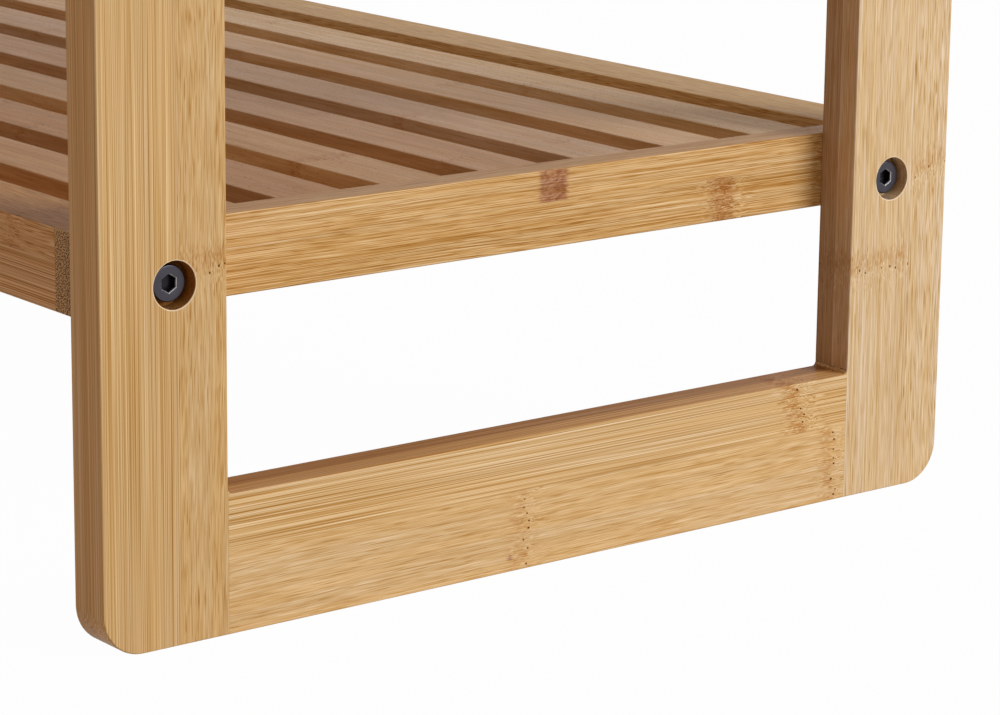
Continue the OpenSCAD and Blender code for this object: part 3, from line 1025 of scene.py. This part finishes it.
def cross(angle):
    """Distance to the side of a screw's cross recess"""
    from_arm = abs((angle + math.radians(45)) % math.radians(90) - math.radians(45))
    return min(CROSS_R / math.cos(from_arm), CROSS_HALF / max(math.sin(from_arm), 0.01))


def make_screws(panel, material):
    """The countersunk screws up through a panel's bearers into its slats"""
    low, high = box(f"{panel}_bearer_screws")
    length = high[2] - low[2]
    recess = ((CROSS_DEEP, 0.5), (0.0, 1.0))     # with shares of the cross's size in place of radii
    profile = recess + (
        (0.0, SCREW_HEAD_R - SCREW_BEVEL),
        (SCREW_BEVEL, SCREW_HEAD_R),
        (SCREW_HEAD_R - SCREW_R, SCREW_R),
        (length - SCREW_R, SCREW_R),
        (length, SCREW_TIP_R),
    )

    def outline(step, angle, reach):
        return cross(angle) * reach if step < len(recess) else reach

    bm = bmesh.new()
    for bearer in BEARERS[panel]:
        for middle in screw_places(panel, bearer):
            turned(bm, middle, 1, profile, outline, axis=2)
    new_piece(f"{panel}_bearer_screws_steel", bm, material, [f"{panel}_bearer_screws"])


def refinish(node, material):
    """A CAD solid whose shape is right keeps its shape and takes a finish"""
    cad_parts[node].data.materials.clear()
    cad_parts[node].data.materials.append(material)


# ---- Build ---------------------------------------------------------------------------

for side in SIDES:
    for face in FACES:
        make_post(side, face)
    for level in ("bottom", "top"):
        make_frame_rail(side, level)

for panel in PANELS:
    for side in SIDES:
        make_end_rail(panel, side)
    for face in FACES:
        make_long_rail(panel, face)
    for number in SLATS:
        make_slat(panel, number)

for panel in PANELS:
    for bearer in BEARERS[panel]:
        make_bearer(panel, bearer)

brass = plating("insert_brass", srgb(190, 160, 96), 0.35)
zinc = plating("zinc_plate", srgb(176, 176, 172), 0.32)
dowel_wood = bamboo("dowel_wood", "right_frame_dowels", ALONG_Y, [(BEYOND, FLECKS)], plies=1)

for panel in PANELS:
    make_bolts(panel, black_oxide(panel))
    make_screws(panel, zinc)

for side in SIDES:
    refinish(f"{side}_frame_dowels", dowel_wood)
for panel in PANELS:
    refinish(f"{panel}_inserts", brass)

# ---- Floor, light and camera ---------------------------------------------------------

WHITE = (1.0, 1.0, 1.0, 1.0)
WHITE_SHARE = 0.98          # of the floor that the camera sees; the rest takes the bench's shadow
FLOOR_PAINT = (0.62, 0.57, 0.52, 1.0)
FLOOR_HALF = 30.0           # half its width, so that its edge lies far outside the view
FLOOR_PARTS = 8

AMBIENT = 0.347             # the world's light on the bench
AMBIENT_TINT = (1.0, 0.86, 0.72, 1.0)
LAMP_TINT = (0.97, 1.0, 1.06)
LAMP_SIZE = 1.7
LAMP_AWAY = 3.4
LAMP_AIM_Z = 0.2
KEY_POWER = 101.0           # watts
FILL_POWER = 38.0

CAMERA_PLACE = Vector((1.2976, -0.6912, 0.3373))
CAMERA_YAW = math.radians(38.154)       # from looking along -X, towards +Y
CAMERA_PITCH = math.radians(12.773)     # downwards
CAMERA_ROLL = math.radians(0.629)       # its right side up
LENS = 124.0
SENSOR = 36.0
SHIFT = -0.06               # share of the frame's width
NEAREST = 0.05
FARTHEST = 60.0


def seen_directly(g):
    """1 for rays from the camera and in reflections or glass, 0 for light that falls on something"""
    path = g.node("ShaderNodeLightPath").outputs
    seen = g.math("MAXIMUM", path["Is Camera Ray"], path["Is Glossy Ray"])
    return g.math("MAXIMUM", seen, path["Is Transmission Ray"])


def make_floor():
    """A plain floor: white to the eye, and softly painted to the light that falls on it"""
    bm = bmesh.new()
    bmesh.ops.create_grid(bm, x_segments=FLOOR_PARTS, y_segments=FLOOR_PARTS, size=FLOOR_HALF)
    floor = add_object("floor", bm)
    material, g = new_material("studio_floor")
    paint = g.node("ShaderNodeBsdfDiffuse", {"Color": FLOOR_PAINT})
    paper = g.node("ShaderNodeEmission", {"Color": WHITE, "Strength": 1.0})
    blend = g.node("ShaderNodeMixShader", {
        0: g.product(seen_directly(g), WHITE_SHARE), 1: paint.outputs[0], 2: paper.outputs[0],
    })
    g.node("ShaderNodeOutputMaterial", {"Surface": blend.outputs[0]})
    floor.data.materials.append(material)


def make_world():
    """White to the eye and in reflections, and a plain soft warm light on the bench"""
    world = bpy.data.worlds.new("studio")
    bpy.context.scene.world = world
    world.use_nodes = True
    world.node_tree.nodes.clear()
    g = Graph(world.node_tree)
    seen = seen_directly(g)
    colour = g.mix(seen, AMBIENT_TINT, WHITE)
    light = g.node("ShaderNodeBackground", {"Color": colour, "Strength": g.between(seen, AMBIENT, 1.0)})
    g.node("ShaderNodeOutputWorld", {"Surface": light.outputs[0]})


def make_lamp(name, end_x, azimuth, elevation, power):
    """A square soft light aimed at an end of the bench. Azimuth is in degrees from +X towards +Y"""
    data = bpy.data.lights.new(name, "AREA")
    data.size = LAMP_SIZE
    data.energy = power
    data.color = LAMP_TINT
    lamp = bpy.data.objects.new(name, data)
    bpy.context.scene.collection.objects.link(lamp)
    around, up = math.radians(azimuth), math.radians(elevation)
    back = Vector((math.cos(around) * math.cos(up), math.sin(around) * math.cos(up), math.sin(up)))
    lamp.location = Vector((end_x, 0.0, LAMP_AIM_Z)) + back * LAMP_AWAY
    lamp.rotation_euler = (-back).to_track_quat("-Z", "Y").to_euler()


def make_camera():
    """Looks down on the right end of the bench from the front, at the angle of the photograph"""
    level = Vector((-math.cos(CAMERA_YAW), math.sin(CAMERA_YAW), 0.0))
    forward = level * math.cos(CAMERA_PITCH) - Vector((0.0, 0.0, math.sin(CAMERA_PITCH)))
    right = forward.cross(Vector((0.0, 0.0, 1.0))).normalized()
    up = right.cross(forward)
    tilted_right = math.cos(CAMERA_ROLL) * right + math.sin(CAMERA_ROLL) * up
    tilted_up = math.cos(CAMERA_ROLL) * up - math.sin(CAMERA_ROLL) * right
    data = bpy.data.cameras.new("camera")
    data.sensor_width = SENSOR
    data.lens = LENS
    data.shift_y = SHIFT
    data.clip_start = NEAREST
    data.clip_end = FARTHEST
    camera = bpy.data.objects.new("camera", data)
    bpy.context.scene.collection.objects.link(camera)
    turn = Matrix((tilted_right, tilted_up, -forward)).transposed()
    camera.matrix_world = Matrix.Translation(CAMERA_PLACE) @ turn.to_4x4()
    bpy.context.scene.camera = camera


make_floor()
make_world()
make_lamp("key", cad_high.x, 30.0, 24.0, KEY_POWER)
make_lamp("fill", cad_low.x, 180.0, 15.0, FILL_POWER)
make_camera()
bpy.context.scene.view_settings.view_transform = "Standard"
